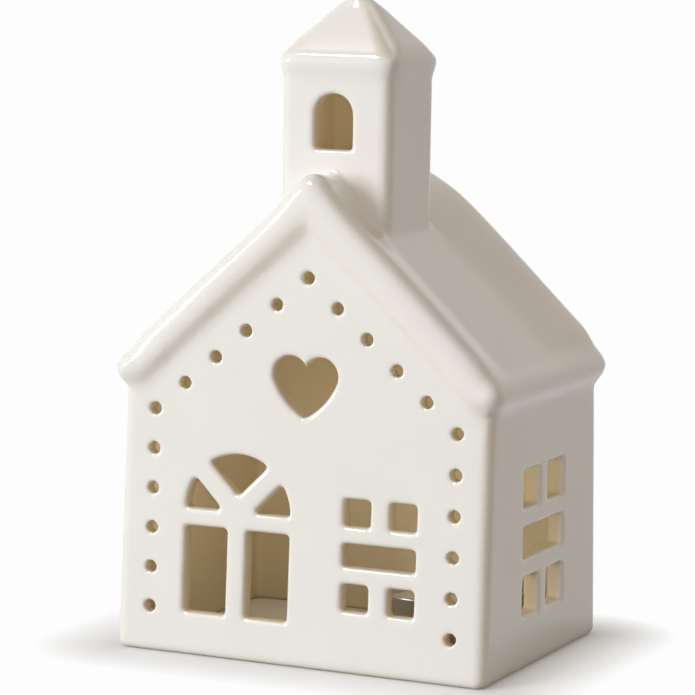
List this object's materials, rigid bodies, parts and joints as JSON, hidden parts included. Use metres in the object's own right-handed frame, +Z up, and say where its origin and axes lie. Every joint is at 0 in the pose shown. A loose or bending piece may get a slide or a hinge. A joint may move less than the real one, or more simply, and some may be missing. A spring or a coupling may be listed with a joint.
{
  "type": "tealight house",
  "caption": "Glazed ceramic tealight house with a steep gabled roof and a capped tower, pierced with a door, windows, a heart and dots, open underneath over a tealight.",
  "frame": {"origin": "middle of the surface that the house and its tealight stand on, below the middle of the house", "axes": "+Z up, +X to the right of the gable with the door, +Y from that gable towards the back"},
  "size_m": [0.1012, 0.0758, 0.163],
  "materials": {
    "glazed_ceramic": "clear gloss glaze over off-white slip-cast earthenware",
    "cup_aluminium": "bright rolled foil, pressed with fine flutes",
    "wax": "smooth, slightly translucent paraffin wax",
    "cotton_wick": "waxed braided cotton",
    "sustainer_steel": "thin tin-plated steel"
  },
  "bodies": {
    "tealight": {"tealight_cup": "cup_aluminium", "tealight_wax": "wax", "tealight_wick": "cotton_wick", "wick_sustainer": "sustainer_steel"},
    "house": {"house_shell": "glazed_ceramic"}
  },
  "joints": [
    {"name": "house_lift", "type": "slide", "parent": "tealight", "child": "house", "axis": [0, 0, 1], "range_m": [0, 0.045]}
  ]
}
